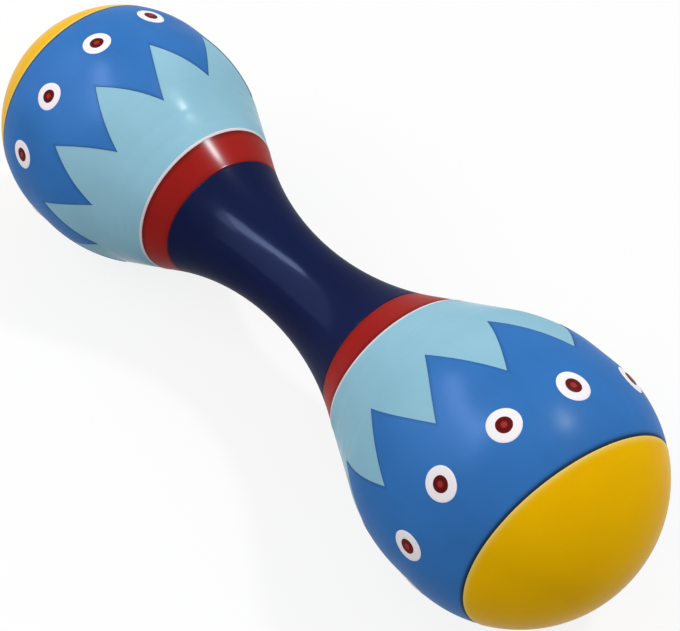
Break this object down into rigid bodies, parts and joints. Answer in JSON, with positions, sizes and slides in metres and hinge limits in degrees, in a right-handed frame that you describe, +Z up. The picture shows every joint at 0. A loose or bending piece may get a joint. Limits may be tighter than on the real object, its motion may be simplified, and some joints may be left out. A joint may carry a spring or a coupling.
{
  "type": "double shaker ball",
  "caption": "Double-ended wooden rattle: a hollow painted ball head with loose beads at each end of a waisted grip, shaken by hand from the middle.",
  "frame": {"origin": "on the surface that the toy lies on, under the middle of the grip", "axes": "+X along the toy towards its right head, +Z up; the toy's own axis lies 28 mm above the origin"},
  "size_m": [0.1858, 0.056, 0.056],
  "materials": {
    "navy_paint": "gloss navy paint on turned wood",
    "red_paint": "gloss red paint on turned wood",
    "blue_paint": "gloss blue and pale blue paint on turned wood",
    "yellow_paint": "gloss yellow paint on turned wood",
    "bead_wood": "bare beech, tumbled smooth"
  },
  "bodies": {
    "toy": {"grip": "navy_paint", "collar_left": "red_paint", "head_left": "blue_paint", "end_cap_left": "yellow_paint", "collar_right": "red_paint", "head_right": "blue_paint", "end_cap_right": "yellow_paint"},
    "bead_left_01": {"bead_left_01": "bead_wood"},
    "bead_left_02": {"bead_left_02": "bead_wood"},
    "bead_left_03": {"bead_left_03": "bead_wood"},
    "bead_left_04": {"bead_left_04": "bead_wood"},
    "bead_left_05": {"bead_left_05": "bead_wood"},
    "bead_left_06": {"bead_left_06": "bead_wood"},
    "bead_left_07": {"bead_left_07": "bead_wood"},
    "bead_left_08": {"bead_left_08": "bead_wood"},
    "bead_left_09": {"bead_left_09": "bead_wood"},
    "bead_left_10": {"bead_left_10": "bead_wood"},
    "bead_right_01": {"bead_right_01": "bead_wood"},
    "bead_right_02": {"bead_right_02": "bead_wood"},
    "bead_right_03": {"bead_right_03": "bead_wood"},
    "bead_right_04": {"bead_right_04": "bead_wood"},
    "bead_right_05": {"bead_right_05": "bead_wood"},
    "bead_right_06": {"bead_right_06": "bead_wood"},
    "bead_right_07": {"bead_right_07": "bead_wood"},
    "bead_right_08": {"bead_right_08": "bead_wood"},
    "bead_right_09": {"bead_right_09": "bead_wood"},
    "bead_right_10": {"bead_right_10": "bead_wood"}
  },
  "joints": [
    {"name": "bead_left_01_hop", "type": "slide", "parent": "toy", "child": "bead_left_01", "axis": [0, 0, 1], "range_m": [0, 0.031]},
    {"name": "bead_left_02_hop", "type": "slide", "parent": "toy", "child": "bead_left_02", "axis": [0, 0, 1], "range_m": [0, 0.0342]},
    {"name": "bead_left_03_hop", "type": "slide", "parent": "toy", "child": "bead_left_03", "axis": [0, 0, 1], "range_m": [0, 0.031]},
    {"name": "bead_left_04_hop", "type": "slide", "parent": "toy", "child": "bead_left_04", "axis": [0, 0, 1], "range_m": [0, 0.0293]},
    {"name": "bead_left_05_hop", "type": "slide", "parent": "toy", "child": "bead_left_05", "axis": [0, 0, 1], "range_m": [0, 0.0357]},
    {"name": "bead_left_06_hop", "type": "slide", "parent": "toy", "child": "bead_left_06", "axis": [0, 0, 1], "range_m": [0, 0.0357]},
    {"name": "bead_left_07_hop", "type": "slide", "parent": "toy", "child": "bead_left_07", "axis": [0, 0, 1], "range_m": [0, 0.0293]},
    {"name": "bead_left_08_hop", "type": "slide", "parent": "toy", "child": "bead_left_08", "axis": [0, 0, 1], "range_m": [0, 0.031]},
    {"name": "bead_left_09_hop", "type": "slide", "parent": "toy", "child": "bead_left_09", "axis": [0, 0, 1], "range_m": [0, 0.0342]},
    {"name": "bead_left_10_hop", "type": "slide", "parent": "toy", "child": "bead_left_10", "axis": [0, 0, 1], "range_m": [0, 0.031]},
    {"name": "bead_right_01_hop", "type": "slide", "parent": "toy", "child": "bead_right_01", "axis": [0, 0, 1], "range_m": [0, 0.031]},
    {"name": "bead_right_02_hop", "type": "slide", "parent": "toy", "child": "bead_right_02", "axis": [0, 0, 1], "range_m": [0, 0.0342]},
    {"name": "bead_right_03_hop", "type": "slide", "parent": "toy", "child": "bead_right_03", "axis": [0, 0, 1], "range_m": [0, 0.031]},
    {"name": "bead_right_04_hop", "type": "slide", "parent": "toy", "child": "bead_right_04", "axis": [0, 0, 1], "range_m": [0, 0.0293]},
    {"name": "bead_right_05_hop", "type": "slide", "parent": "toy", "child": "bead_right_05", "axis": [0, 0, 1], "range_m": [0, 0.0357]},
    {"name": "bead_right_06_hop", "type": "slide", "parent": "toy", "child": "bead_right_06", "axis": [0, 0, 1], "range_m": [0, 0.0357]},
    {"name": "bead_right_07_hop", "type": "slide", "parent": "toy", "child": "bead_right_07", "axis": [0, 0, 1], "range_m": [0, 0.0293]},
    {"name": "bead_right_08_hop", "type": "slide", "parent": "toy", "child": "bead_right_08", "axis": [0, 0, 1], "range_m": [0, 0.031]},
    {"name": "bead_right_09_hop", "type": "slide", "parent": "toy", "child": "bead_right_09", "axis": [0, 0, 1], "range_m": [0, 0.0342]},
    {"name": "bead_right_10_hop", "type": "slide", "parent": "toy", "child": "bead_right_10", "axis": [0, 0, 1], "range_m": [0, 0.031]}
  ]
}
